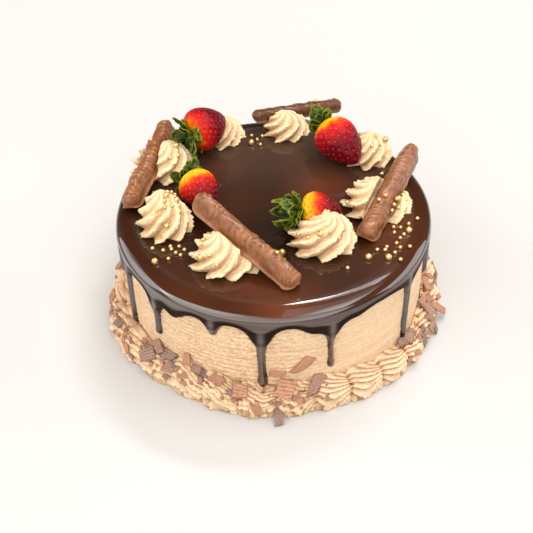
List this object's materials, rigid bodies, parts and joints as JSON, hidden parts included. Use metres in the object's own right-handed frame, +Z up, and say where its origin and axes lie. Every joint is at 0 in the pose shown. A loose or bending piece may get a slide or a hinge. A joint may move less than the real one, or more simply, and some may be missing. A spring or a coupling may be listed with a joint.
{
  "type": "glazed chocolate sponge cake",
  "caption": "Round cream-covered cake with a dripping dark mirror glaze, piped border and swirls, coated fingers and strawberries.",
  "frame": {"origin": "centre of the flat underside of the cake", "axes": "+Z up through the glaze; the pictured front faces -Y and +X is to its right"},
  "size_m": [0.2425, 0.2423, 0.1188],
  "materials": {
    "side_cream": "soft matt cream with fine comb lines",
    "border_cream": "soft matt piped cream",
    "swirl_cream": "soft satin piped cream",
    "glaze": "mirror-smooth dark chocolate",
    "milk_chocolate": "satin milk chocolate coating",
    "flake": "matt striated chocolate",
    "strawberry": "glossy pitted skin",
    "leaf": "soft veined leaf",
    "gold_pearl": "pearly gold sugar shell"
  },
  "bodies": {
    "root": {"cake": "side_cream", "glaze": "glaze", "border": "border_cream", "swirl_1": "swirl_cream", "swirl_2": "swirl_cream", "swirl_3": "swirl_cream", "swirl_4": "swirl_cream", "swirl_5": "swirl_cream", "swirl_6": "swirl_cream", "swirl_7": "swirl_cream", "swirl_8": "swirl_cream", "finger_1": "milk_chocolate", "finger_2": "milk_chocolate", "finger_3": "milk_chocolate", "finger_4": "milk_chocolate", "strawberry_1": "strawberry", "strawberry_2": "strawberry", "strawberry_3": "strawberry", "strawberry_4": "strawberry", "calyx_1": "leaf", "calyx_2": "leaf", "calyx_3": "leaf", "calyx_4": "leaf"}
  },
  "joints": []
}
